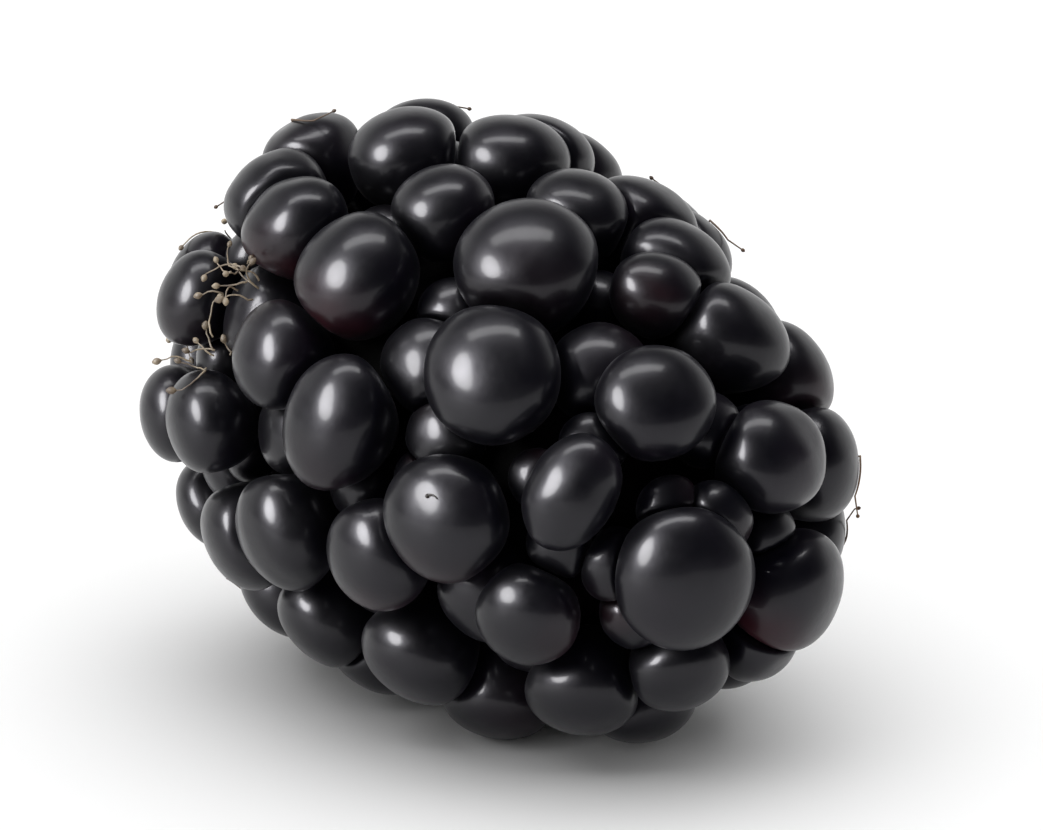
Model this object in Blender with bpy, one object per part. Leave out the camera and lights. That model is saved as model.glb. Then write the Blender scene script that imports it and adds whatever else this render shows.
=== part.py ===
"""Bramble berry, ripe and picked, lying on its side.

One grown piece: drupelets crowd around a receptacle and are grown together with it.
The berry's axis runs from the stem end (-X) to the tip (+X) and dips towards the tip.
Origin: on the surface that the berry rests on, under the middle of its box. +Z is up.
"""

import math
import random

import bmesh
import bpy
import numpy as np
from mathutils import Matrix, Vector

MM = 0.001

# Driving dimensions, in millimetres and degrees.
LENGTH = 30.0          # along the axis, over the drupelets
GIRTH = 9.55           # greatest distance of a drupelet's middle from the axis
WIDEST = 12.0          # where along the axis that is, measured from the stem end
STEM_END = 1.1         # where the surface through the drupelets' middles begins
TIP_END = 28.0         # and where it ends
STEM_FULLNESS = 2.9    # 2 would be an ellipse; more gives a squarer shoulder
TIP_FULLNESS = 2.1
DIP = 9.5              # the axis slopes down towards the tip
AXIS_HEIGHT = 10.05    # middle of the axis above the resting surface
CORE_RISE = 0.3        # receptacle's surface above the drupelets' middles
SAG_START = 8.0        # drupelets lower than this under the axis are pushed up by the berry's weight
SAG_KEEP = 0.6         # to this share of their extra depth
DOME_HEIGHT = 0.76     # a drupelet is flatter outwards than sideways, by this share
ROOT_PULL = 0.5        # drupelets towards the ends lean outwards: 0 fans them from the middle, 1 not at all

SPHERE_SEGMENTS = 12
SPHERE_RINGS = 7
SMALL_SEGMENTS = 9
SMALL_RINGS = 5
CORE_SEGMENTS = 24
CORE_RINGS = 14

# Drupelets on the side that shows most: (station, angle, radius).
# The station is measured along the axis from the stem end. The angle goes around the axis
# from the top, and is positive towards -Y.
FRONT_DRUPELETS = (
    # shoulder
    (3.5, 15, 2.0), (5.0, 35, 2.0),
    # first full ring
    (9.5, -25, 2.1), (8.0, 8, 2.2), (7.5, 40, 2.1), (10.5, 67, 2.0), (7.5, 92, 1.9), (9.5, 118, 2.1),
    # widest ring
    (10.5, -10, 2.25), (12.0, 17, 1.9), (11.7, 42, 2.4), (12.5, 106, 2.2), (12.5, 137, 2.1),
    # behind the middle
    (15.5, -44, 1.9), (15.5, -26, 2.2), (15.0, -8, 2.0), (16.7, 16, 2.7), (14.5, 73, 2.35),
    (17.5, 99, 2.1), (18.0, 131, 2.2), (13.5, 150, 2.0),
    # past the middle
    (21.5, -58, 2.2), (18.5, -22, 2.1), (20.0, -8, 1.7), (19.3, 44, 2.65), (20.2, 82, 2.4), (19.3, 154, 2.3),
    # near the tip
    (24.2, -73, 2.25), (22.0, -26, 2.15), (24.0, 18, 2.2), (24.0, 59, 2.1),
    (23.5, 105, 1.95), (24.0, 143, 2.15),
    # tip
    (26.3, -27, 2.2), (27.4, 75, 2.7), (27.3, -115, 2.5), (26.7, 155, 1.9), (26.8, 212, 1.8),
)

# Arcs of evenly spaced drupelets that close each ring: (station, first angle, last angle, count, radius).
ARCS = (
    (1.8, 20, 335, 8, 1.7),
    (4.1, 70, 335, 9, 1.85),
    (8.1, 150, 316, 7, 2.15),
    (12.2, 168, 306, 6, 2.3),
    (16.4, 183, 291, 5, 2.2),
    (20.2, 179, 263, 4, 2.2),
    (23.4, 178, 254, 3, 2.1),
)
ARC_SEED = 5
STATION_WOBBLE = 0.25
ANGLE_WOBBLE = 2.0
RADIUS_WOBBLE = 0.07

# Small drupelets that fill the gaps between the others.
SMALLEST_GAP = 0.60      # gaps with less room than this stay open
GAP_OVERLAP = 0.50       # how far a small drupelet reaches under its neighbours
GAP_SINK = 0.25          # how much lower it sits
GAP_ROWS = 80
GAP_COLUMNS = 144

LAY_DOWN = Matrix.Rotation(math.radians(DIP), 3, "Y")
AXIS = LAY_DOWN @ Vector((1.0, 0.0, 0.0))


def clear_scene():
    for item in list(bpy.data.objects):
        bpy.data.objects.remove(item, do_unlink=True)


def new_collection(name):
    collection = bpy.data.collections.new(name)
    bpy.context.scene.collection.children.link(collection)
    return collection


def skin_material():
    """Near-black ripe skin with a faint purple cast, tight and glossy."""
    material = bpy.data.materials.new("berry_skin")
    material.use_nodes = True
    shader = material.node_tree.nodes["Principled BSDF"]
    shader.inputs["Base Color"].default_value = (0.010, 0.006, 0.013, 1.0)
    shader.inputs["Roughness"].default_value = 0.22
    shader.inputs["Metallic"].default_value = 0.0
    return material


def girth_at(station):
    """Distance from the axis of the surface through the drupelets' middles."""
    if station < WIDEST:
        reach = (WIDEST - station) / (WIDEST - STEM_END)
        fullness = STEM_FULLNESS
    else:
        reach = (station - WIDEST) / (TIP_END - WIDEST)
        fullness = TIP_FULLNESS
    return GIRTH * max(0.0, 1.0 - reach ** fullness) ** (1.0 / fullness)


def arc_drupelets():
    """The drupelets of the arcs, each a little off its even place."""
    rng = random.Random(ARC_SEED)
    drupelets = []
    for station, first, last, count, radius in ARCS:
        step = (last - first) / (count - 1)
        for index in range(count):
            drupelets.append((
                station + rng.uniform(-STATION_WOBBLE, STATION_WOBBLE),
                first + step * index + rng.uniform(-ANGLE_WOBBLE, ANGLE_WOBBLE),
                radius + rng.uniform(-RADIUS_WOBBLE, RADIUS_WOBBLE),
            ))
    return drupelets


def on_axis_frame(station, angle, distance):
    """A point given by station, angle and distance from the axis, before the berry is laid down."""
    turn = math.radians(angle)
    return Vector((station - LENGTH / 2, -distance * math.sin(turn), distance * math.cos(turn)))


class Drupelet:
    """Middle, sideways radius and outward direction of one drupelet, in millimetres."""

    def __init__(self, station, angle, radius, sink=0.0):
        self.radius = radius
        self.fills_gap = sink > 0.0
        self.middle = LAY_DOWN @ on_axis_frame(station, angle, girth_at(station) - sink)
        if self.middle.z < -SAG_START:
            self.middle.z = -SAG_START + SAG_KEEP * (self.middle.z + SAG_START)
        self.outward = (self.middle - AXIS * self.middle.dot(AXIS) * ROOT_PULL).normalized()

    def half_width(self, direction):
        """Half of the drupelet's extent along a unit direction."""
        lean = self.outward.dot(direction)
        return self.radius * math.sqrt(1.0 - lean ** 2 * (1.0 - DOME_HEIGHT ** 2))


def gap_drupelets(drupelets):
    """Small drupelets placed one by one in the roomiest gap that is left."""
    places = []
    for row in range(1, GAP_ROWS):
        station = STEM_END + 2.0 + (TIP_END - STEM_END - 2.2) * row / GAP_ROWS
        for column in range(GAP_COLUMNS):
            angle = 360.0 * column / GAP_COLUMNS
            places.append((station, angle, LAY_DOWN @ on_axis_frame(station, angle, girth_at(station))))
    points = np.array([place[2][:] for place in places])
    middles = np.array([drupelet.middle[:] for drupelet in drupelets])
    radii = np.array([drupelet.radius for drupelet in drupelets])
    room = (np.linalg.norm(points[:, None] - middles[None], axis=2) - radii[None]).min(axis=1)
    added = []
    while room.max() > SMALLEST_GAP:
        best = int(room.argmax())
        radius = float(room[best]) + GAP_OVERLAP
        added.append(Drupelet(places[best][0], places[best][1], radius, GAP_SINK))
        room = np.minimum(room, np.linalg.norm(points - points[best], axis=1) - radius)
    return added


def lay_out():
    """All drupelets of the berry as it rests, and the shift that brought them to the origin."""
    drupelets = [Drupelet(*plan) for plan in list(FRONT_DRUPELETS) + arc_drupelets()]
    drupelets += gap_drupelets(drupelets)
    shift = Vector((0.0, 0.0, AXIS_HEIGHT))
    for index, direction in enumerate((Vector((1, 0, 0)), Vector((0, 1, 0)))):
        low = min(d.middle[index] - d.half_width(direction) for d in drupelets)
        high = max(d.middle[index] + d.half_width(direction) for d in drupelets)
        shift[index] = -(low + high) / 2
    for drupelet in drupelets:
        drupelet.middle += shift
    return drupelets, shift


def link_mesh(name, bm, collection):
    mesh = bpy.data.meshes.new(name)
    bm.to_mesh(mesh)
    bm.free()
    item = bpy.data.objects.new(name, mesh)
    collection.objects.link(item)
    return item


def as_guide(item):
    item.hide_render = True
    item.display_type = "WIRE"


def build_drupelet(name, drupelet, guides):
    """One drupelet as a flattened ball whose poles point to and from the axis."""
    segments, rings = (SMALL_SEGMENTS, SMALL_RINGS) if drupelet.fills_gap else (SPHERE_SEGMENTS, SPHERE_RINGS)
    bm = bmesh.new()
    bmesh.ops.create_uvsphere(bm, u_segments=segments, v_segments=rings, radius=drupelet.radius * MM)
    bmesh.ops.scale(bm, vec=(1.0, 1.0, DOME_HEIGHT), verts=bm.verts)
    bm.transform(drupelet.outward.to_track_quat("Z", "Y").to_matrix().to_4x4())
    bm.transform(Matrix.Translation(drupelet.middle * MM))
    item = link_mesh(name, bm, guides)
    as_guide(item)


def build_core(shift, parts):
    """The receptacle that the drupelets sit on: an egg turned about the berry's axis."""
    bm = bmesh.new()
    bmesh.ops.create_uvsphere(bm, u_segments=CORE_SEGMENTS, v_segments=CORE_RINGS, radius=1.0)
    first = STEM_END
    last = TIP_END + CORE_RISE
    for vertex in bm.verts:
        along = (vertex.co.z + 1.0) / 2
        station = first + (last - first) * along
        distance = girth_at(station) + CORE_RISE
        around = math.degrees(math.atan2(vertex.co.y, vertex.co.x))
        if abs(vertex.co.z) > 0.9999:
            distance = 0.0
        vertex.co = (LAY_DOWN @ on_axis_frame(station, around, distance) + shift) * MM
    bmesh.ops.recalc_face_normals(bm, faces=bm.faces)
    return link_mesh("bramble_berry", bm, parts)


def build_resting_cutter(guides):
    """A block below the resting surface, which presses small flats on the lowest drupelets."""
    bm = bmesh.new()
    bmesh.ops.create_cube(bm, size=1.0)
    depth = 5.0 * MM
    bmesh.ops.scale(bm, vec=(60 * MM, 60 * MM, depth), verts=bm.verts)
    bmesh.ops.translate(bm, vec=(0, 0, -depth / 2), verts=bm.verts)
    item = link_mesh("resting_surface", bm, guides)
    as_guide(item)
    return item


def build_berry():
    parts = new_collection("bramble_berry")
    guides = new_collection("guides")
    balls = bpy.data.collections.new("drupelets")
    guides.children.link(balls)

    drupelets, shift = lay_out()
    for index, drupelet in enumerate(drupelets):
        build_drupelet(f"drupelet_{index + 1:03d}", drupelet, balls)

    berry = build_core(shift, parts)
    berry.data.materials.append(skin_material())
    grow = berry.modifiers.new("grow_together", "BOOLEAN")
    grow.operation = "UNION"
    grow.solver = "EXACT"
    grow.operand_type = "COLLECTION"
    grow.collection = balls
    rest = berry.modifiers.new("rest_flat", "BOOLEAN")
    rest.operation = "DIFFERENCE"
    rest.solver = "EXACT"
    rest.object = build_resting_cutter(guides)
    berry.data.shade_smooth()
    return berry


clear_scene()
build_berry()
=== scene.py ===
"""Looks of the bramble berry: pressed glossy drupelets, dried styles, the stem-end scar, light and camera."""

import math
import random

import bmesh
import bpy
import numpy as np
from mathutils import Matrix, Vector
from mathutils.bvhtree import BVHTree


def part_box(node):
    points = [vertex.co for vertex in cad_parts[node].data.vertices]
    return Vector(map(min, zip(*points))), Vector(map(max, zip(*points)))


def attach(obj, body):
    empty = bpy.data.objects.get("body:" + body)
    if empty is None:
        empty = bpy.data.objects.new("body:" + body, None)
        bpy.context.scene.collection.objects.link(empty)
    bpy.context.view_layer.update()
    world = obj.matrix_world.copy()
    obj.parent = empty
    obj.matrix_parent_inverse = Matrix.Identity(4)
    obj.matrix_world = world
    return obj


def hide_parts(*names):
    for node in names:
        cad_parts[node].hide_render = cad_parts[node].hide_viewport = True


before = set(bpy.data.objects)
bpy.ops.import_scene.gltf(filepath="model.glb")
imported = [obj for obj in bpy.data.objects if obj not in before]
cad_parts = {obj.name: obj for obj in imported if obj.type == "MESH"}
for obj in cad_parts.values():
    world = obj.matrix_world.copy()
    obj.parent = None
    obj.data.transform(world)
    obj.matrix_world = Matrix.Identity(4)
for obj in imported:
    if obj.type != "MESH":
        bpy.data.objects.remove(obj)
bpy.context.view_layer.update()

MM = 0.001
NODE = "bramble_berry"
BODY = "root"

# The berry's plan, as in its CAD part (millimetres and degrees).
LENGTH = 30.0            # of the axis
GIRTH = 9.55             # from the axis to the drupelets' middles, where the berry is widest
WIDEST = 12.0            # station of that place
STEM_END = 1.1           # stations where the girth shrinks to nothing
TIP_END = 28.0
STEM_FULLNESS = 2.9      # 2 would be an ellipse; more is blunter
TIP_FULLNESS = 2.1
DIP = 9.5                # of the axis towards the tip
AXIS_HEIGHT = 10.05      # of the middle of the axis over the floor
SAG_START = 8.0          # below this depth under the axis, drupelets sag
SAG_KEEP = 0.6           # share of the further depth that they keep
DOME_HEIGHT = 0.76       # of a drupelet, as a share of its radius
ROOT_PULL = 0.5          # 0 points drupelets away from the berry's middle, 1 square off its axis

# Drupelets on the side that shows most: (station from the stem end, angle towards -Y from the top, radius).
FRONT_DRUPELETS = (
    # shoulder
    (3.5, 15, 2.0), (5.0, 35, 2.0),
    # first full ring
    (9.5, -25, 2.1), (8.0, 8, 2.2), (7.5, 40, 2.1), (10.5, 67, 2.0), (7.5, 92, 1.9), (9.5, 118, 2.1),
    # widest ring
    (10.5, -10, 2.25), (12.0, 17, 1.9), (11.7, 42, 2.4), (12.5, 106, 2.2), (12.5, 137, 2.1),
    # behind the middle
    (15.5, -44, 1.9), (15.5, -26, 2.2), (15.0, -8, 2.0), (16.7, 16, 2.7), (14.5, 73, 2.35),
    (17.5, 99, 2.1), (18.0, 131, 2.2), (13.5, 150, 2.0),
    # past the middle
    (21.5, -58, 2.2), (18.5, -22, 2.1), (20.0, -8, 1.7), (19.3, 44, 2.65), (20.2, 82, 2.4), (19.3, 154, 2.3),
    # near the tip
    (24.2, -73, 2.25), (22.0, -26, 2.15), (24.0, 18, 2.2), (24.0, 59, 2.1),
    (23.5, 105, 1.95), (24.0, 143, 2.15),
    # tip
    (26.3, -27, 2.2), (27.4, 75, 2.7), (27.3, -115, 2.5), (26.7, 155, 1.9), (26.8, 212, 1.8),
)

# Evenly spaced drupelets that close each ring: (station, first angle, last angle, count, radius).
ARCS = (
    (1.8, 20, 335, 8, 1.7),
    (4.1, 70, 335, 9, 1.85),
    (8.1, 150, 316, 7, 2.15),
    (12.2, 168, 306, 6, 2.3),
    (16.4, 183, 291, 5, 2.2),
    (20.2, 179, 263, 4, 2.2),
    (23.4, 178, 254, 3, 2.1),
)
ARC_SEED = 5
STATION_WOBBLE = 0.25
ANGLE_WOBBLE = 2.0
RADIUS_WOBBLE = 0.07

# Small drupelets squeezed into the gaps between the others, in millimetres.
SMALLEST_GAP = 0.60      # gaps with less room than this stay open
GAP_OVERLAP = 0.50       # how far a small drupelet reaches under its neighbours
GAP_SINK = 1.90          # how much lower it sits
GAP_START = 2.0          # from the stem end to the first row of places that are tried
GAP_MARGINS = 2.2        # what the rows leave out at both ends together
GAP_ROWS = 80
GAP_COLUMNS = 144

# How a drupelet is shaped, as shares of its radius.
BALL_SUBDIVISIONS = 5
SMALL_SUBDIVISIONS = 4   # for the small drupelets in the gaps
WIDTH = 1.02             # sideways half-width
FULLNESS = 2.06          # 2 would be an ellipsoid; more gives fuller shoulders
ROOT_REACH = 1.15        # from its widest place to its root
PRESS_SHARPNESS = 11.0   # higher gives sharper edges where neighbours press
FLOOR_SHARPNESS = 22.0   # the same where the floor presses
SKIN_GAP = 0.03          # crease left between two pressed drupelets, in millimetres
LEAST_ROOM = 0.15        # share of its radius that a drupelet keeps on its tightest side
NEIGHBOUR_REACH = 1.5    # how far off a neighbour still presses, in sums of both radii
LEAST_FACING = 1e-4      # keeps directions that face away from a press from dividing by zero
MOST_OVAL = 1.05         # stretch of the least round of the plain drupelets
FREQUENCY_SPREAD = (0.7, 1.3)    # of the waves that an uneven field adds up
DENTS = (0.014, 2.6, 5)  # broad unevenness: depth, frequency, number of waves
WRINKLES = (0.0045, 7.0, 7)
PLAIN_WRINKLES = (0.7, 1.2)
DEEP_WRINKLES = 3.2      # on the wrinkled drupelets

# Drupelets that aren't round, by number: (direction from the tip in degrees, stretch, squeeze).
UNEVEN = {
    4: (30, 1.02, 0.92),
    17: (90, 1.12, 0.90),
    23: (60, 1.05, 0.92),
    28: (60, 1.10, 0.90),
    30: (90, 1.12, 0.78),
}
WRINKLED = (0, 1, 4, 11, 30, 33, 37, 44, 52, 61, 70)

# Red blush: strong on the drupelets in BLUSHED, faint on some others.
BLUSHED = (4, 10, 35, 58)
BLUSH_SEED = 500
BLUSH_STRENGTH = 0.9
FAINT_BLUSH = (-0.1, 0.3)        # mean and spread on the other drupelets; below 0 there is none
BLUSH_SIDE = (0.1, -0.75, -0.65)         # where a strong patch has its middle
BLUSH_EDGE = 0.25        # cosine of the angle from its middle at which the patch ends
BLUSH_RISE = 0.25        # how far a faint patch lies from the drupelet's side towards its top
BLUSH_BLOTCHES = (0.2, 9.0, 6)
BLUSH_EVEN = 0.8         # what the blotches are added to

# Crease flesh, in millimetres.
CORE_DEPTH = 2.9         # below the drupelets' middles
CORE_CLEARANCE = 0.4     # between it and the floor
CORE_SUBDIVISIONS = 5
CORE_BUMPS = (0.14, 9.0, 9)      # depth, frequency, number of waves
CORE_GRAIN = (0.05, 24.0, 9)
CORE_SEED = 11

# Pieces that the drupelets are shared out over: (name, first station, last station).
ZONES = (
    ("drupelets_stem_end", 0.0, 9.0),
    ("drupelets_middle", 9.0, 17.8),
    ("drupelets_tip", 17.8, LENGTH),
)

# Thin fibres and beads: the dried leftovers of the flower. All sizes from here on in millimetres.
RAY_START = 6.0          # over a drupelet's middle, clear of its skin
FIBRE_SIDES = 7
BEAD_SIDES = 9
BEAD_STEPS = 7
BEAD_NECK = 0.12         # least width of a bead, as a share of its middle
BEAD_END = 0.35          # steps that its half wave runs on past each end

# Dried styles.
STYLE_SHARE = 0.30       # drupelets off the front that still carry one
STYLED_FRONT = (0, 13, 27)       # drupelets on the front that do
STYLED_HEIGHT = 3.0      # drupelets lower than this have lost theirs
STYLE_RADIUS = 0.045
STYLE_TAPER = (1.0, 0.45)        # radius at the foot, and what it loses towards the end
STYLE_FOOT = 0.05        # depth that it starts below the skin
STYLE_NECK = 0.12        # how far it stands up before it lies down
STYLE_STEPS = (8, 17)
STYLE_STEP = 0.17
STYLE_CURL = 0.12        # turn in each step
STYLE_BEND = 0.9         # strongest bend, to either side
STYLE_LYING = 0.6        # share of its length that hugs the skin
STYLE_LIFT = 0.9         # how far its end may stand off
STYLE_CLEARANCE = 1.2    # in its own radii
STIGMA = (0.20, 0.075)   # length and width of the bead at its end
STIGMA_SHARE = 0.5       # styles that kept it
STYLE_SEED = 21

# Styles that broke off short: a dark stub with a thin tail.
STUBS = ((25, -0.39, 0.50),)     # drupelet, then how far across and up from its nearest place
STUB_LENGTH = 0.24
STUB_WIDTH = 0.36        # as a share of its length
STUB_LEAN = 0.8          # downwards
STUB_TAIL_STEPS = 5
STUB_TAIL_STEP = 0.11
STUB_TAIL_ACROSS = 0.8
STUB_TAIL_RISE = 0.35
STUB_TAIL_DROOP = 0.12   # lost from the rise in each step
STUB_CLEARANCE = 0.6     # in radii of a style
STUB_TAPER = (1.3, 0.9)

# The pale plug where the stalk was pulled off; widths and places in shares of its radius.
SCAR_RADIUS = 4.0
SCAR_BASE = 2.3          # station of its rim
SCAR_RISE = 0.9          # height of its middle over the rim
SCAR_FULLNESS = 2.4      # 2 would be a parabola; more is flatter on top
SCAR_DIP = 0.55          # hollow in its middle
SCAR_DIP_WIDTH = 0.30
SCAR_RIDGE = 0.16        # torn ridge around the hollow
SCAR_RIDGE_PLACE = 0.42
SCAR_RIDGE_WIDTH = 0.06
SCAR_FIBRES = 0.045      # fine fibres that run out to the rim
SCAR_SWIRL = 0.07
SCAR_PITS = 0.05
SCAR_WOBBLE = 0.03       # of its outline
SCAR_STAIN_WOBBLE = 0.08
SCAR_FIRST_RING = 0.2    # place of the first ring, in rings; one small face closes the middle
SCAR_RINGS = 44
SCAR_SPOKES = 160
SCAR_SEED = 31

# Stamens in a ring around the plug.
STAMENS = 40
STAMEN_RADIUS = 0.038
STAMEN_TAPER = (1.15, 0.55)
STAMEN_ANGLE_WOBBLE = 6.0
STAMEN_FOOT_INSET = 0.35         # from the plug's rim
STAMEN_FOOT_WOBBLE = 0.3
STAMEN_FOOT_RISE = 0.1           # of the foot over the plug's rim
STAMEN_LEAN = (-1.4, -0.5)       # along the axis at the foot, away from the berry
STAMEN_RETURN = (0.6, 1.5)       # pull back along the axis
STAMEN_SAG = (-0.5, 0.1)         # pull down or up
STAMEN_PULL = 0.10               # share of both pulls in each step
STAMEN_WANDER = (0.30, 0.22, 0.8)        # first wander, what each step adds, what it keeps
STAMEN_SWERVE = 0.12             # share of the wander in each step
STAMEN_STEPS = (11, 19)
STAMEN_STEP = 0.24
STAMEN_CLEARANCE = 0.03
ANTHER_SHARE = 0.75              # stamens in the ring that kept their anther
ANTHER_LENGTH = (0.30, 0.45)
ANTHER_WIDTH = (0.09, 0.14)
STAMEN_SEED = 8

# Tufts of stamens caught between drupelets: (station, angle, count).
SPILLED_STAMENS = ((7.8, 57, 9), (7.0, 76, 8), (5.9, 55, 5))
SPILLED_HEIGHT = 0.4             # of a tuft over the drupelets' middles
SPILLED_SPREAD = 0.45
SPILLED_HEADING = (0.8, 0.5)     # shares outward, and away from the tuft's middle
SPILLED_WANDER = 0.30
SPILLED_STEPS = (5, 9)
SPILLED_STEP = 0.20
SPILLED_TAPER = (1.0, 0.5)
SPILLED_CLEARANCE = 1.5          # in radii of a stamen
SPILLED_ANTHER = (0.26, 0.40)    # length
SPILLED_ANTHER_WIDTH = 0.38      # as a share of its length

# Colours (linear) and the range that noise mostly stays in.
BLUSH_COLOUR = (0.030, 0.0040, 0.0070)
RIM_COLOUR = (0.060, 0.016, 0.024)
STYLE_COLOURS = (0.045, 0.022, 0.010), (0.19, 0.105, 0.050)
STAMEN_COLOURS = (0.080, 0.048, 0.030), (0.46, 0.37, 0.25)
STUB_COLOURS = (0.004, 0.003, 0.003), (0.022, 0.012, 0.008)
NOISE_SPAN = (0.3, 0.7)

# Camera and studio, in metres and degrees.
CAMERA_AZIMUTH = 50.0
CAMERA_ELEVATION = 19.0
CAMERA_DISTANCE = 0.70
VIEW_WIDTH = 0.039       # of what the picture shows at the berry
SENSOR_WIDTH = 36.0      # in millimetres, as for any camera
FLOOR_HALF_WIDTH = 3.0
WORLD_FRONT = 0.02       # radiance of the dark room that the skin mirrors
WORLD_FILL = 0.55        # radiance that lights dull surfaces from all around
WALL_EDGE = (-0.05, 0.60)        # where the white wall fades in sideways, and out upwards
WALL_TOP = (0.30, 0.75)
KEY_FROM = (-0.76, 0.33, 0.56)   # by the camera's right, its up and back towards it
TOP_FROM = (-0.12, 0.95, 0.20)
OVERHEAD_FROM = (-0.12, 0.05, 1.0)       # in the frame's own directions
POWER_PER_RADIANCE = 4.0         # of an area light, for each square metre


# ---------------------------------------------------------------- plan of the berry

def girth_at(station):
    """Distance from the axis of the surface through the drupelets' middles."""
    if station < WIDEST:
        reach = (WIDEST - station) / (WIDEST - STEM_END)
        fullness = STEM_FULLNESS
    else:
        reach = (station - WIDEST) / (TIP_END - WIDEST)
        fullness = TIP_FULLNESS
    return GIRTH * max(0.0, 1.0 - reach ** fullness) ** (1.0 / fullness)


def arc_drupelets():
    """Station, angle and radius of the drupelets that close the rings."""
    rng = random.Random(ARC_SEED)
    drupelets = []
    for station, first, last, count, radius in ARCS:
        step = (last - first) / (count - 1)
        for index in range(count):
            drupelets.append((
                station + rng.uniform(-STATION_WOBBLE, STATION_WOBBLE),
                first + step * index + rng.uniform(-ANGLE_WOBBLE, ANGLE_WOBBLE),
                radius + rng.uniform(-RADIUS_WOBBLE, RADIUS_WOBBLE),
            ))
    return drupelets


def on_axis_frame(station, angle, distance):
    """A place by station, angle and distance from the axis, before the berry is laid down."""
    turn = math.radians(angle)
    return Vector((station - LENGTH / 2, -distance * math.sin(turn), distance * math.cos(turn)))


LAY_DOWN = Matrix.Rotation(math.radians(DIP), 3, "Y")
AXIS = LAY_DOWN @ Vector((1.0, 0.0, 0.0))


class Drupelet:
    """Middle, sideways radius and outward direction of one drupelet, in millimetres."""

    def __init__(self, station, angle, radius, sink=0.0):
        self.station = station
        self.radius = radius
        self.fills_gap = sink > 0.0
        self.middle = LAY_DOWN @ on_axis_frame(station, angle, girth_at(station) - sink)
        if self.middle.z < -SAG_START:
            self.middle.z = -SAG_START + SAG_KEEP * (self.middle.z + SAG_START)
        self.outward = (self.middle - AXIS * self.middle.dot(AXIS) * ROOT_PULL).normalized()

    def half_width(self, direction):
        """How far the drupelet reaches from its middle along a direction."""
        lean = self.outward.dot(direction)
        return self.radius * math.sqrt(1.0 - lean ** 2 * (1.0 - DOME_HEIGHT ** 2))


def gap_drupelets(drupelets):
    """Small drupelets placed one by one in the roomiest gap that is left."""
    places = []
    for row in range(1, GAP_ROWS):
        station = STEM_END + GAP_START + (TIP_END - STEM_END - GAP_MARGINS) * row / GAP_ROWS
        for column in range(GAP_COLUMNS):
            angle = 360.0 * column / GAP_COLUMNS
            places.append((station, angle, LAY_DOWN @ on_axis_frame(station, angle, girth_at(station))))
    points = np.array([place[2][:] for place in places])
    middles = np.array([drupelet.middle[:] for drupelet in drupelets])
    radii = np.array([drupelet.radius for drupelet in drupelets])
    room = (np.linalg.norm(points[:, None] - middles[None], axis=2) - radii[None]).min(axis=1)
    added = []
    while room.max() > SMALLEST_GAP:
        best = int(room.argmax())
        radius = float(room[best]) + GAP_OVERLAP
        added.append(Drupelet(places[best][0], places[best][1], radius, GAP_SINK))
        room = np.minimum(room, np.linalg.norm(points - points[best], axis=1) - radius)
    return added


def lay_out():
    """All drupelets, and the shift from the middle of the axis to the frame's origin."""
    drupelets = [Drupelet(*plan) for plan in list(FRONT_DRUPELETS) + arc_drupelets()]
    drupelets += gap_drupelets(drupelets)
    shift = Vector((0.0, 0.0, AXIS_HEIGHT))
    for index, direction in enumerate((Vector((1, 0, 0)), Vector((0, 1, 0)))):
        low = min(d.middle[index] - d.half_width(direction) for d in drupelets)
        high = max(d.middle[index] + d.half_width(direction) for d in drupelets)
        shift[index] = -(low + high) / 2
    for number, drupelet in enumerate(drupelets):
        drupelet.middle += shift
        drupelet.number = number
    return drupelets, shift


# ---------------------------------------------------------------- drupelet skin

def unit_ball(subdivisions):
    """Directions spread evenly over a ball, and the triangles between them."""
    bm = bmesh.new()
    bmesh.ops.create_icosphere(bm, subdivisions=subdivisions, radius=1.0)
    points = np.array([vertex.co[:] for vertex in bm.verts])
    faces = np.array([[vertex.index for vertex in face.verts] for face in bm.faces])
    bm.free()
    return points / np.linalg.norm(points, axis=1)[:, None], faces


def random_vector(rng):
    return Vector((rng.gauss(0, 1), rng.gauss(0, 1), rng.gauss(0, 1)))


def lumps(directions, rng, frequency, waves):
    """A smooth uneven field over directions, about -1 to 1, as a sum of plane waves."""
    total = np.zeros(len(directions))
    for _ in range(waves):
        wave = np.array(random_vector(rng).normalized()) * frequency * rng.uniform(*FREQUENCY_SPREAD)
        total += np.sin(directions @ wave + rng.uniform(0, 2 * math.pi))
    return total / math.sqrt(waves)


def unevenness(directions, rng, kind, share=1.0):
    depth, frequency, waves = kind
    return depth * share * lumps(directions, rng, frequency, waves)


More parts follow.
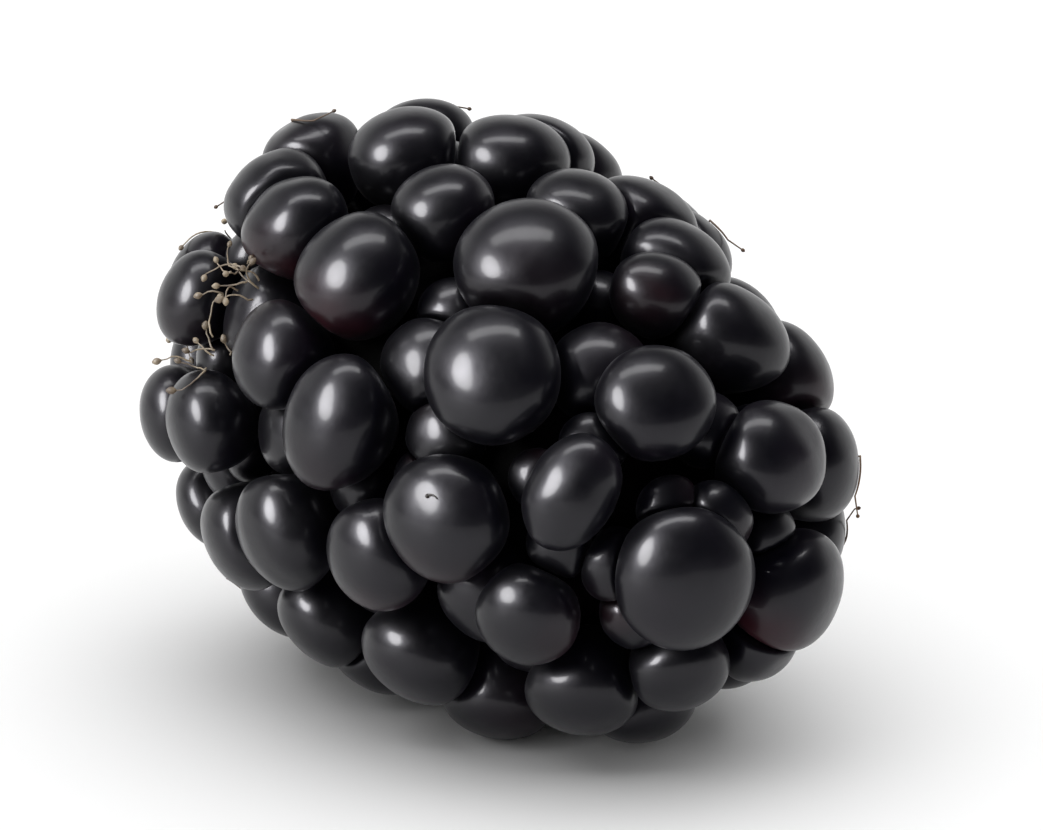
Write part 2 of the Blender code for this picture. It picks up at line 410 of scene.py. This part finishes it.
def shape(drupelet, others, directions):
    """Distance from the drupelet's middle to its skin along each direction, in millimetres."""
    rng = random.Random(drupelet.number)
    outward = np.array(drupelet.outward)
    middle = np.array(drupelet.middle)
    radius = drupelet.radius
    towards_tip = AXIS - drupelet.outward * AXIS.dot(drupelet.outward)
    side_a = np.array(towards_tip.normalized())
    side_b = np.cross(outward, side_a)
    oval = rng.uniform(1.0, MOST_OVAL)
    turn, stretch, squeeze = UNEVEN.get(drupelet.number, (rng.uniform(0, 180), oval, 1 / oval))
    turn = math.radians(turn)
    first = directions @ (side_a * math.cos(turn) + side_b * math.sin(turn)) / (WIDTH * stretch)
    second = directions @ (side_b * math.cos(turn) - side_a * math.sin(turn)) / (WIDTH * squeeze)
    side = np.hypot(first, second)
    height = directions @ outward
    height = np.where(height > 0, height / DOME_HEIGHT, -height / ROOT_REACH)
    own = radius * (height ** FULLNESS + side ** FULLNESS) ** (-1 / FULLNESS)
    wrinkled = DEEP_WRINKLES if drupelet.number in WRINKLED else rng.uniform(*PLAIN_WRINKLES)
    own *= 1.0 + unevenness(directions, rng, DENTS) + unevenness(directions, rng, WRINKLES, wrinkled)
    # A smooth minimum of its own skin, the planes that it shares with its neighbours, and the floor.
    limits = own ** -PRESS_SHARPNESS
    for other in others:
        gap = np.array(other.middle) - middle
        distance = float(np.linalg.norm(gap))
        if other is drupelet or distance > (radius + other.radius) * NEIGHBOUR_REACH:
            continue
        plane = (distance ** 2 + radius ** 2 - other.radius ** 2) / (2 * distance) - SKIN_GAP / 2
        plane = max(plane, LEAST_ROOM * radius)
        facing = np.maximum(directions @ (gap / distance), LEAST_FACING)
        limits += (plane / facing) ** -PRESS_SHARPNESS
    down = np.maximum(-directions[:, 2], LEAST_FACING)
    limits += (middle[2] / down) ** -FLOOR_SHARPNESS
    return limits ** (-1.0 / PRESS_SHARPNESS)


def mesh_object(name, points, faces, material):
    mesh = bpy.data.meshes.new(name)
    mesh.from_pydata([tuple(p) for p in points], [], [tuple(f) for f in faces])
    mesh.materials.append(material)
    mesh.shade_smooth()
    item = bpy.data.objects.new(name, mesh)
    bpy.context.scene.collection.objects.link(item)
    return item


def blush(drupelet, directions):
    """How red the skin is, 0 to 1: a patch low on the side of some drupelets."""
    rng = random.Random(BLUSH_SEED + drupelet.number)
    blushed = drupelet.number in BLUSHED
    strength = BLUSH_STRENGTH if blushed else max(0.0, rng.gauss(*FAINT_BLUSH))
    sideways = drupelet.outward.cross(random_vector(rng)).normalized()
    towards = Vector(BLUSH_SIDE) if blushed else drupelet.outward * BLUSH_RISE + sideways
    facing = directions @ np.array(towards.normalized())
    patch = np.clip((facing - BLUSH_EDGE) / (1.0 - BLUSH_EDGE), 0.0, 1.0) ** 2
    return strength * patch * (BLUSH_EVEN + unevenness(directions, rng, BLUSH_BLOTCHES))


def build_drupelets(name, members, drupelets, material):
    """One piece of skin: the drupelets in members, each pressed by all that lie around it."""
    balls = {False: unit_ball(BALL_SUBDIVISIONS), True: unit_ball(SMALL_SUBDIVISIONS)}
    points = []
    triangles = []
    redness = []
    first = 0
    for drupelet in members:
        ball, faces = balls[drupelet.fills_gap]
        reach = shape(drupelet, drupelets, ball)
        skin = np.array(drupelet.middle) + ball * reach[:, None]
        skin[:, 2] = np.maximum(skin[:, 2], 0.0)
        points.append(skin * MM)
        triangles.append(faces + first)
        first += len(ball)
        redness.append(blush(drupelet, ball))
    item = mesh_object(name, np.concatenate(points), np.concatenate(triangles), material)
    set_attribute(item, "redness", np.concatenate(redness))
    return item


def set_attribute(item, name, values):
    """Values for the points of a mesh, kept between 0 and 1, for its material to read."""
    attribute = item.data.attributes.new(name, "FLOAT", "POINT")
    attribute.data.foreach_set("value", np.clip(values, 0.0, 1.0).astype(np.float32))


def build_core(shift, material):
    """Flesh at the bottom of the creases between drupelets; its near-black colour is painted shade."""
    ball, faces = unit_ball(CORE_SUBDIVISIONS)
    rng = random.Random(CORE_SEED)
    rough = unevenness(ball, rng, CORE_BUMPS) + unevenness(ball, rng, CORE_GRAIN)
    flesh = []
    half = (TIP_END - STEM_END) / 2
    for (along, across, upward), bump in zip(ball, rough):
        distance = girth_at(STEM_END + half + along * half)
        ring = max(math.hypot(across, upward), 1e-6)
        place = Vector((along * half, across / ring * distance, upward / ring * distance))
        place *= 1.0 - (CORE_DEPTH - bump) / place.length
        place.x += STEM_END + half - LENGTH / 2
        place = LAY_DOWN @ place + shift
        flesh.append((place.x, place.y, max(place.z, CORE_CLEARANCE)))
    return mesh_object("crease_flesh_painted_shade", np.array(flesh) * MM, faces, material)


# ---------------------------------------------------------------- dried leftovers of the flower

class Fibres:
    """Many thin round fibres gathered into one mesh, in millimetres."""

    def __init__(self):
        self.points = []
        self.faces = []

    def sweep(self, path, radii, sides=FIBRE_SIDES):
        """A closed tube along the path."""
        ahead = (path[1] - path[0]).normalized()
        side = ahead.orthogonal().normalized()
        start = len(self.points)
        for index, (place, radius) in enumerate(zip(path, radii)):
            ahead = (path[min(index + 1, len(path) - 1)] - path[max(index - 1, 0)]).normalized()
            side = (side - ahead * side.dot(ahead)).normalized()
            other = ahead.cross(side)
            for corner in range(sides):
                turn = 2 * math.pi * corner / sides
                self.points.append(place + (side * math.cos(turn) + other * math.sin(turn)) * radius)
        for ring in range(len(path) - 1):
            for corner in range(sides):
                first = start + ring * sides + corner
                second = start + ring * sides + (corner + 1) % sides
                self.faces.append((first, second, second + sides, first + sides))
        self.faces.append(tuple(start + corner for corner in reversed(range(sides))))
        last = start + (len(path) - 1) * sides
        self.faces.append(tuple(last + corner for corner in range(sides)))

    def bead(self, middle, ahead, length, width):
        """A shape like a grain of rice: a short fibre that swells in its middle."""
        path = []
        radii = []
        for index in range(BEAD_STEPS):
            path.append(middle + ahead * length * (index / (BEAD_STEPS - 1) - 0.5))
            swell = math.sin(math.pi * (index + BEAD_END) / (BEAD_STEPS - 1 + 2 * BEAD_END))
            radii.append(width * (BEAD_NECK + (1.0 - BEAD_NECK) * swell))
        self.sweep(path, radii, BEAD_SIDES)

    def bead_at_end(self, path, length, width):
        self.bead(path[-1], (path[-1] - path[-2]).normalized(), length, width)

    def mesh(self, name, material):
        return mesh_object(name, np.array([point[:] for point in self.points]) * MM, self.faces, material)


def skin_tree(pieces):
    """A search tree over the drupelets' skin, in metres."""
    points = []
    faces = []
    for piece in pieces:
        start = len(points)
        points.extend(vertex.co.copy() for vertex in piece.data.vertices)
        faces.extend([start + corner for corner in face.vertices] for face in piece.data.polygons)
    return BVHTree.FromPolygons(points, faces)


def tapered(radius, path, taper):
    """A radius for each place on the path, by a taper in shares of the given one."""
    at_foot, loss = taper
    return [radius * (at_foot - loss * index / len(path)) for index in range(len(path))]


def skin_below(tree, middle, ahead):
    """Where the skin lies along a direction from a drupelet's middle."""
    found, _, _, _ = tree.ray_cast((middle + ahead * RAY_START) * MM, -ahead)
    return found / MM


def outside(tree, place, clearance, snap=False):
    """A place in millimetres moved out of the drupelets, or onto them when it snaps."""
    found, normal, _, _ = tree.find_nearest(place * MM)
    found = found / MM
    height = (place - found).dot(normal)
    if height < clearance or snap:
        place = found + normal * clearance
    if place.z < clearance:
        place.z = clearance
    return place


def build_styles(drupelets, tree, material):
    """A dried style curls away from the top of some drupelets."""
    rng = random.Random(STYLE_SEED)
    fibres = Fibres()
    for drupelet in drupelets:
        off_front = drupelet.number >= len(FRONT_DRUPELETS) and not drupelet.fills_gap
        kept = rng.random() < STYLE_SHARE and off_front
        if drupelet.middle.z < STYLED_HEIGHT or not (kept or drupelet.number in STYLED_FRONT):
            continue
        outward = drupelet.outward
        foot = skin_below(tree, drupelet.middle, outward) - outward * STYLE_FOOT
        ahead = outward.cross(random_vector(rng)).normalized()
        bend = outward * rng.uniform(-STYLE_BEND, STYLE_BEND)
        lift = rng.uniform(0.0, STYLE_LIFT)
        path = [foot, foot + outward * STYLE_NECK]
        count = rng.randint(*STYLE_STEPS)
        for step in range(count):
            share = step / count
            ahead = (ahead + bend.cross(ahead) * STYLE_CURL).normalized()
            clearance = STYLE_RADIUS * STYLE_CLEARANCE + lift * share ** 3
            path.append(outside(tree, path[-1] + ahead * STYLE_STEP, clearance, share < STYLE_LYING))
        fibres.sweep(path, tapered(STYLE_RADIUS, path, STYLE_TAPER))
        if rng.random() < STIGMA_SHARE:
            fibres.bead_at_end(path, *STIGMA)
    return fibres.mesh("dried_styles", material)


def build_stubs(drupelets, tree, material):
    """The dark ends of styles that broke off short."""
    fibres = Fibres()
    right, up, _ = camera_axes()
    for number, across, rise in STUBS:
        ahead = from_camera(across, rise, 1.0).normalized()
        foot = skin_below(tree, drupelets[number].middle, ahead)
        lean = (ahead - up * STUB_LEAN).normalized()
        fibres.bead(foot, lean, STUB_LENGTH, STUB_LENGTH * STUB_WIDTH)
        tail = [foot]
        for step in range(1, STUB_TAIL_STEPS + 1):
            along = right * STUB_TAIL_ACROSS + up * (STUB_TAIL_RISE - STUB_TAIL_DROOP * step)
            place = foot + along * STUB_TAIL_STEP * step
            tail.append(outside(tree, place, STYLE_RADIUS * STUB_CLEARANCE, True))
        fibres.sweep(tail, tapered(STYLE_RADIUS, tail, STUB_TAPER))
    return fibres.mesh("style_stubs", material)


def add_stamen_ring(fibres, rng, shift, tree):
    """Stamens that stand around the scar and bend back over the shoulder."""
    first_wander, added_wander, kept_wander = STAMEN_WANDER
    for index in range(STAMENS):
        angle = 360.0 * index / STAMENS + rng.uniform(-STAMEN_ANGLE_WOBBLE, STAMEN_ANGLE_WOBBLE)
        distance = SCAR_RADIUS - STAMEN_FOOT_INSET + rng.uniform(-STAMEN_FOOT_WOBBLE, STAMEN_FOOT_WOBBLE)
        foot = LAY_DOWN @ on_axis_frame(SCAR_BASE - STAMEN_FOOT_RISE, angle, distance) + shift
        spread = LAY_DOWN @ on_axis_frame(LENGTH / 2, angle, 1.0)
        ahead = (spread + AXIS * rng.uniform(*STAMEN_LEAN)).normalized()
        pull = AXIS * rng.uniform(*STAMEN_RETURN) + Vector((0.0, 0.0, rng.uniform(*STAMEN_SAG)))
        wander = random_vector(rng) * first_wander
        path = [foot]
        for _ in range(rng.randint(*STAMEN_STEPS)):
            ahead = (ahead + pull * STAMEN_PULL + wander * STAMEN_SWERVE).normalized()
            wander = wander * kept_wander + random_vector(rng) * added_wander
            clearance = STAMEN_RADIUS + STAMEN_CLEARANCE
            path.append(outside(tree, path[-1] + ahead * STAMEN_STEP, clearance))
        fibres.sweep(path, tapered(STAMEN_RADIUS, path, STAMEN_TAPER))
        if rng.random() < ANTHER_SHARE:
            fibres.bead_at_end(path, rng.uniform(*ANTHER_LENGTH), rng.uniform(*ANTHER_WIDTH))


def add_stamen_tufts(fibres, rng, shift, tree):
    """Stamens that came loose and are caught between drupelets."""
    clearance = STAMEN_RADIUS * SPILLED_CLEARANCE
    straight_out, apart = SPILLED_HEADING
    for station, angle, count in SPILLED_STAMENS:
        gap = LAY_DOWN @ on_axis_frame(station, angle, girth_at(station) + SPILLED_HEIGHT)
        outward = gap.normalized()
        for _ in range(count):
            spread = random_vector(rng)
            path = [outside(tree, gap + shift + spread * SPILLED_SPREAD, clearance)]
            ahead = (outward * straight_out + spread * apart).normalized()
            for _ in range(rng.randint(*SPILLED_STEPS)):
                ahead = (ahead + random_vector(rng) * SPILLED_WANDER).normalized()
                path.append(outside(tree, path[-1] + ahead * SPILLED_STEP, clearance))
            fibres.sweep(path, tapered(STAMEN_RADIUS, path, SPILLED_TAPER))
            length = rng.uniform(*SPILLED_ANTHER)
            fibres.bead_at_end(path, length, length * SPILLED_ANTHER_WIDTH)


def build_stamens(shift, tree, material):
    """The withered stamens at the stem end."""
    rng = random.Random(STAMEN_SEED)
    fibres = Fibres()
    add_stamen_ring(fibres, rng, shift, tree)
    add_stamen_tufts(fibres, rng, shift, tree)
    return fibres.mesh("dried_stamens", material)


def scar_relief(turn, share, phases):
    """Height of the plug's face over its rim, and the swirl that its stain follows too.

    Numbers before turn count a pattern's repeats around the plug, and those before share twist
    it on its way out. The min() of share lets a pattern fade in from the middle.
    """
    fibres = math.sin(23 * turn + phases[0] + 3 * share)
    fibres += 0.6 * math.sin(41 * turn + phases[1] - 5 * share)
    swirl = math.sin(5 * turn + phases[2] + 9 * share) * math.sin(11 * share + phases[3])
    pits = math.sin(13 * turn + phases[4]) * math.sin(26 * share + 3 * turn + phases[5])
    torn = 0.6 + 0.4 * math.sin(9 * turn + phases[1])
    rise = SCAR_RISE * (1.0 - share ** SCAR_FULLNESS)
    rise -= SCAR_DIP * math.exp(-(share / SCAR_DIP_WIDTH) ** 2)
    rise += SCAR_FIBRES * fibres * min(1.0, share * 3)
    rise += SCAR_SWIRL * swirl * share
    rise += SCAR_PITS * pits * min(1.0, share * 4)
    rise += SCAR_RIDGE * math.exp(-((share - SCAR_RIDGE_PLACE) / SCAR_RIDGE_WIDTH) ** 2) * torn
    return rise, swirl


def build_scar(shift, material):
    """The pale fibrous plug at the stem end."""
    rng = random.Random(SCAR_SEED)
    phases = [rng.uniform(0, 2 * math.pi) for _ in range(6)]
    points = []
    rim = []
    for ring in range(SCAR_RINGS):
        share = (ring + SCAR_FIRST_RING) / (SCAR_RINGS - 1 + SCAR_FIRST_RING)
        for spoke in range(SCAR_SPOKES):
            turn = 2 * math.pi * spoke / SCAR_SPOKES
            rise, swirl = scar_relief(turn, share, phases)
            distance = SCAR_RADIUS * share * (1.0 + SCAR_WOBBLE * math.sin(7 * turn + phases[3]))
            place = LAY_DOWN @ on_axis_frame(SCAR_BASE - rise, math.degrees(turn), distance) + shift
            points.append(place[:])
            rim.append(share + SCAR_STAIN_WOBBLE * swirl)
    faces = [tuple(range(SCAR_SPOKES))]
    for ring in range(SCAR_RINGS - 1):
        inner = ring * SCAR_SPOKES
        outer = inner + SCAR_SPOKES
        for spoke in range(SCAR_SPOKES):
            after = (spoke + 1) % SCAR_SPOKES
            faces.append((inner + spoke, outer + spoke, outer + after, inner + after))
    item = mesh_object("stem_scar", np.array(points) * MM, faces, material)
    set_attribute(item, "rim", np.array(rim))
    return item


# ---------------------------------------------------------------- materials

def new_material(name):
    material = bpy.data.materials.new(name)
    material.use_nodes = True
    nodes = material.node_tree.nodes
    return material, nodes, material.node_tree.links, nodes["Principled BSDF"]


def add_noise(nodes, links, scale, detail, roughness=0.5):
    """Noise through the solid, laid out by the object's own coordinates."""
    place = nodes.new("ShaderNodeTexCoord")
    noise = nodes.new("ShaderNodeTexNoise")
    noise.inputs["Scale"].default_value = scale
    noise.inputs["Detail"].default_value = detail
    noise.inputs["Roughness"].default_value = roughness
    links.new(place.outputs["Object"], noise.inputs["Vector"])
    return noise


def add_ramp(nodes, links, factor, stops):
    """Colours by factor; the first two stops are the ends, any others lie between them."""
    ramp = nodes.new("ShaderNodeValToRGB")
    elements = ramp.color_ramp.elements
    for index, (position, colour) in enumerate(stops):
        element = elements[index] if index < 2 else elements.new(position)
        element.position = position
        element.color = (*colour, 1.0)
    links.new(factor, ramp.inputs["Fac"])
    return ramp


def add_range(nodes, links, value, given, wanted):
    """The value, moved from the given range to the wanted one."""
    mapped = nodes.new("ShaderNodeMapRange")
    for socket, level in zip(("From Min", "From Max", "To Min", "To Max"), given + wanted):
        mapped.inputs[socket].default_value = level
    links.new(value, mapped.inputs["Value"])
    return mapped


def add_bump(nodes, links, height, strength, distance, before=None):
    """Bump from a height, on top of the bump before it if there is one."""
    bump = nodes.new("ShaderNodeBump")
    bump.inputs["Strength"].default_value = strength
    bump.inputs["Distance"].default_value = distance
    links.new(height, bump.inputs["Height"])
    if before is not None:
        links.new(before.outputs["Normal"], bump.inputs["Normal"])
    return bump


def add_stain(nodes, links, factor, base, stain):
    """The base colour, turned into the stain's where the factor is 1."""
    mix = nodes.new("ShaderNodeMix")
    mix.data_type = "RGBA"
    links.new(factor, mix.inputs[0])
    links.new(base, mix.inputs[6])
    mix.inputs[7].default_value = (*stain, 1.0)
    return mix.outputs[2]


def skin_material():
    """Near-black ripe skin: blue-violet patches, a red blush, waxy roughness and fine grain."""
    material, nodes, links, shader = new_material("berry_skin")
    patches = add_noise(nodes, links, scale=260.0, detail=4.0)
    grain = add_noise(nodes, links, scale=3800.0, detail=4.0)
    waves = add_noise(nodes, links, scale=900.0, detail=3.0)
    colours = add_ramp(nodes, links, patches.outputs["Fac"], (
        (0.34, (0.0012, 0.0010, 0.0028)),
        (0.70, (0.0040, 0.0022, 0.0058)),
        (0.52, (0.0018, 0.0016, 0.0040)),
    ))
    red = nodes.new("ShaderNodeAttribute")
    red.attribute_name = "redness"
    blushed = add_stain(nodes, links, red.outputs["Fac"], colours.outputs["Color"], BLUSH_COLOUR)
    links.new(blushed, shader.inputs["Base Color"])
    rough = add_range(nodes, links, waves.outputs["Fac"], NOISE_SPAN, (0.34, 0.46))
    links.new(rough.outputs["Result"], shader.inputs["Roughness"])
    ripples = add_bump(nodes, links, waves.outputs["Fac"], strength=0.34, distance=0.00006)
    fine = add_bump(nodes, links, grain.outputs["Fac"], strength=0.26, distance=0.00001, before=ripples)
    links.new(fine.outputs["Normal"], shader.inputs["Normal"])
    shader.inputs["IOR"].default_value = 1.34
    shader.inputs["Specular Tint"].default_value = (0.94, 0.92, 1.0, 1.0)
    shader.inputs["Sheen Weight"].default_value = 0.025
    shader.inputs["Sheen Roughness"].default_value = 0.35
    shader.inputs["Sheen Tint"].default_value = (0.85, 0.86, 1.0, 1.0)
    shader.inputs["Coat Weight"].default_value = 0.42
    shader.inputs["Coat Roughness"].default_value = 0.16
    shader.inputs["Coat IOR"].default_value = 1.36
    return material


def fibre_material(name, dark, pale):
    """Dry plant fibre: streaky brown, dull."""
    material, nodes, links, shader = new_material(name)
    streaks = add_noise(nodes, links, scale=700.0, detail=5.0, roughness=0.65)
    grain = add_noise(nodes, links, scale=6000.0, detail=3.0)
    colours = add_ramp(nodes, links, streaks.outputs["Fac"], ((0.36, dark), (0.66, pale)))
    links.new(colours.outputs["Color"], shader.inputs["Base Color"])
    rough = add_range(nodes, links, grain.outputs["Fac"], NOISE_SPAN, (0.45, 0.75))
    links.new(rough.outputs["Result"], shader.inputs["Roughness"])
    bump = add_bump(nodes, links, grain.outputs["Fac"], strength=0.5, distance=0.00003)
    links.new(bump.outputs["Normal"], shader.inputs["Normal"])
    return material


def scar_material():
    """Pale tan flesh of the plug, stained purple towards its rim."""
    material, nodes, links, shader = new_material("receptacle")
    patches = add_noise(nodes, links, scale=900.0, detail=6.0, roughness=0.6)
    grain = add_noise(nodes, links, scale=5200.0, detail=4.0)
    flesh = add_ramp(nodes, links, patches.outputs["Fac"], (
        (0.30, (0.24, 0.16, 0.075)),
        (0.72, (0.62, 0.52, 0.30)),
        (0.50, (0.46, 0.35, 0.18)),
    ))
    rim = nodes.new("ShaderNodeAttribute")
    rim.attribute_name = "rim"
    edge = add_ramp(nodes, links, rim.outputs["Fac"], (
        (0.55, (0.0, 0.0, 0.0)),
        (0.92, (1.0, 1.0, 1.0)),
    ))
    stained = add_stain(nodes, links, edge.outputs["Color"], flesh.outputs["Color"], RIM_COLOUR)
    links.new(stained, shader.inputs["Base Color"])
    rough = add_range(nodes, links, grain.outputs["Fac"], NOISE_SPAN, (0.50, 0.80))
    links.new(rough.outputs["Result"], shader.inputs["Roughness"])
    pitted = add_bump(nodes, links, patches.outputs["Fac"], strength=0.6, distance=0.00015)
    fine = add_bump(nodes, links, grain.outputs["Fac"], strength=0.5, distance=0.00004, before=pitted)
    links.new(fine.outputs["Normal"], shader.inputs["Normal"])
    return material


def painted_shade_crease_material():
    """Dull flesh deep between drupelets, coloured near-black as painted shade in the creases."""
    material, nodes, links, shader = new_material("crease_flesh_painted_shade")
    grain = add_noise(nodes, links, scale=1500.0, detail=5.0)
    # painted shade: near-black colours that stand in for the shade deep in the creases
    colours = add_ramp(nodes, links, grain.outputs["Fac"], (
        (0.35, (0.0004, 0.0003, 0.0006)),
        (0.75, (0.0020, 0.0008, 0.0014)),
    ))
    links.new(colours.outputs["Color"], shader.inputs["Base Color"])
    bump = add_bump(nodes, links, grain.outputs["Fac"], strength=0.6, distance=0.0001)
    links.new(bump.outputs["Normal"], shader.inputs["Normal"])
    shader.inputs["Roughness"].default_value = 0.75
    shader.inputs["Specular IOR Level"].default_value = 0.02
    return material


def floor_material():
    """Plain pale studio floor."""
    material, _, _, shader = new_material("studio_floor")
    shader.inputs["Base Color"].default_value = (0.86, 0.86, 0.86, 1.0)
    shader.inputs["Roughness"].default_value = 0.7
    shader.inputs["Specular IOR Level"].default_value = 0.2
    return material


# ---------------------------------------------------------------- studio

def camera_axes():
    """The camera's right, its up, and the direction from the berry back to it."""
    azimuth = math.radians(CAMERA_AZIMUTH)
    elevation = math.radians(CAMERA_ELEVATION)
    right = Vector((math.cos(azimuth), math.sin(azimuth), 0.0))
    level = math.cos(elevation)
    back = Vector((math.sin(azimuth) * level, -math.cos(azimuth) * level, math.sin(elevation)))
    return right, back.cross(right), back


def from_camera(across, rise, nearer):
    """A direction by its shares of the camera's right, its up and back towards it."""
    right, up, back = camera_axes()
    return right * across + up * rise + back * nearer


def add_camera(target):
    right, up, back = camera_axes()
    data = bpy.data.cameras.new("camera")
    data.sensor_width = SENSOR_WIDTH
    data.lens = SENSOR_WIDTH * CAMERA_DISTANCE / VIEW_WIDTH
    data.clip_start = 0.01
    data.clip_end = 20.0
    item = bpy.data.objects.new("camera", data)
    turn = Matrix((right, up, back)).transposed()
    item.matrix_world = Matrix.Translation(target + back * CAMERA_DISTANCE) @ turn.to_4x4()
    bpy.context.scene.collection.objects.link(item)
    bpy.context.scene.camera = item


def add_softbox(name, target, direction, distance, width, height, radiance):
    """An area light that faces the target; its width runs along the camera's right."""
    data = bpy.data.lights.new(name, "AREA")
    data.shape = "RECTANGLE"
    data.size = width
    data.size_y = height
    data.energy = radiance * POWER_PER_RADIANCE * width * height
    item = bpy.data.objects.new(name, data)
    away = direction.normalized()
    side = camera_axes()[0]
    side = (side - away * side.dot(away)).normalized()
    turn = Matrix((side, away.cross(side), away)).transposed()
    item.matrix_world = Matrix.Translation(target + away * distance) @ turn.to_4x4()
    bpy.context.scene.collection.objects.link(item)
    return item


def add_world():
    """A white wall behind the berry and a dark room in front; dull surfaces are lit evenly."""
    world = bpy.data.worlds.new("studio")
    world.use_nodes = True
    bpy.context.scene.world = world
    nodes = world.node_tree.nodes
    links = world.node_tree.links
    background = nodes["Background"]
    back = camera_axes()[2]
    place = nodes.new("ShaderNodeTexCoord")
    ahead = nodes.new("ShaderNodeVectorMath")
    ahead.operation = "DOT_PRODUCT"
    ahead.inputs[1].default_value = -Vector((back.x, back.y, 0.0)).normalized()
    links.new(place.outputs["Generated"], ahead.inputs[0])
    height = nodes.new("ShaderNodeSeparateXYZ")
    links.new(place.outputs["Generated"], height.inputs[0])
    wall = add_range(nodes, links, ahead.outputs["Value"], WALL_EDGE, (0.0, 1.0))
    top = add_range(nodes, links, height.outputs["Z"], WALL_TOP, (1.0, 0.0))
    for edge in (wall, top):
        edge.interpolation_type = "SMOOTHSTEP"
    seen = nodes.new("ShaderNodeMath")
    seen.operation = "MULTIPLY"
    links.new(wall.outputs["Result"], seen.inputs[0])
    links.new(top.outputs["Result"], seen.inputs[1])
    level = add_range(nodes, links, seen.outputs["Value"], (0.0, 1.0), (WORLD_FRONT, 1.0))
    path = nodes.new("ShaderNodeLightPath")
    strength = nodes.new("ShaderNodeMix")
    links.new(path.outputs["Is Diffuse Ray"], strength.inputs["Factor"])
    links.new(level.outputs["Result"], strength.inputs["A"])
    strength.inputs["B"].default_value = WORLD_FILL
    links.new(strength.outputs["Result"], background.inputs["Strength"])
    background.inputs["Color"].default_value = (1.0, 1.0, 1.0, 1.0)


def add_floor():
    bm = bmesh.new()
    bmesh.ops.create_grid(bm, x_segments=1, y_segments=1, size=FLOOR_HALF_WIDTH)
    mesh = bpy.data.meshes.new("studio_floor")
    bm.to_mesh(mesh)
    bm.free()
    mesh.materials.append(floor_material())
    item = bpy.data.objects.new("studio_floor", mesh)
    bpy.context.scene.collection.objects.link(item)


def light_studio(target):
    """Two softboxes that only gleam on the skin, and a large one overhead that only lights dull surfaces."""
    gleam = add_softbox("key_softbox", target, from_camera(*KEY_FROM),
                        distance=0.60, width=0.29, height=0.46, radiance=20.0)
    gleam.data.shape = "ELLIPSE"
    gleam.visible_diffuse = False
    streak = add_softbox("top_softbox", target, from_camera(*TOP_FROM),
                         distance=0.60, width=0.62, height=0.15, radiance=8.0)
    streak.visible_diffuse = False
    soft = add_softbox("overhead_softbox", target, Vector(OVERHEAD_FROM),
                       distance=0.80, width=1.50, height=1.50, radiance=1.15)
    soft.visible_glossy = False


# ---------------------------------------------------------------- assembly

drupelets, shift = lay_out()
skin = skin_material()
pieces = []
for name, first_station, last_station in ZONES:
    members = [drupelet for drupelet in drupelets if first_station <= drupelet.station < last_station]
    pieces.append(build_drupelets(name, members, drupelets, skin))
tree = skin_tree(pieces)
# the crease flesh is coloured near-black as painted shade
pieces.append(build_core(shift, painted_shade_crease_material()))
for piece in pieces:
    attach(piece, BODY)
    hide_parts(NODE)
scar = build_scar(shift, scar_material())
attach(scar, BODY)
fibres = (
    build_styles(drupelets, tree, fibre_material("dry_style", *STYLE_COLOURS)),
    build_stubs(drupelets, tree, fibre_material("style_stub", *STUB_COLOURS)),
    build_stamens(shift, tree, fibre_material("dry_stamen", *STAMEN_COLOURS)),
)
for piece in fibres:
    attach(piece, BODY)

low_corner, high_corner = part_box(NODE)
target = (low_corner + high_corner) / 2
add_floor()
add_world()
light_studio(target)
add_camera(target)
bpy.context.scene.view_settings.view_transform = "Standard"
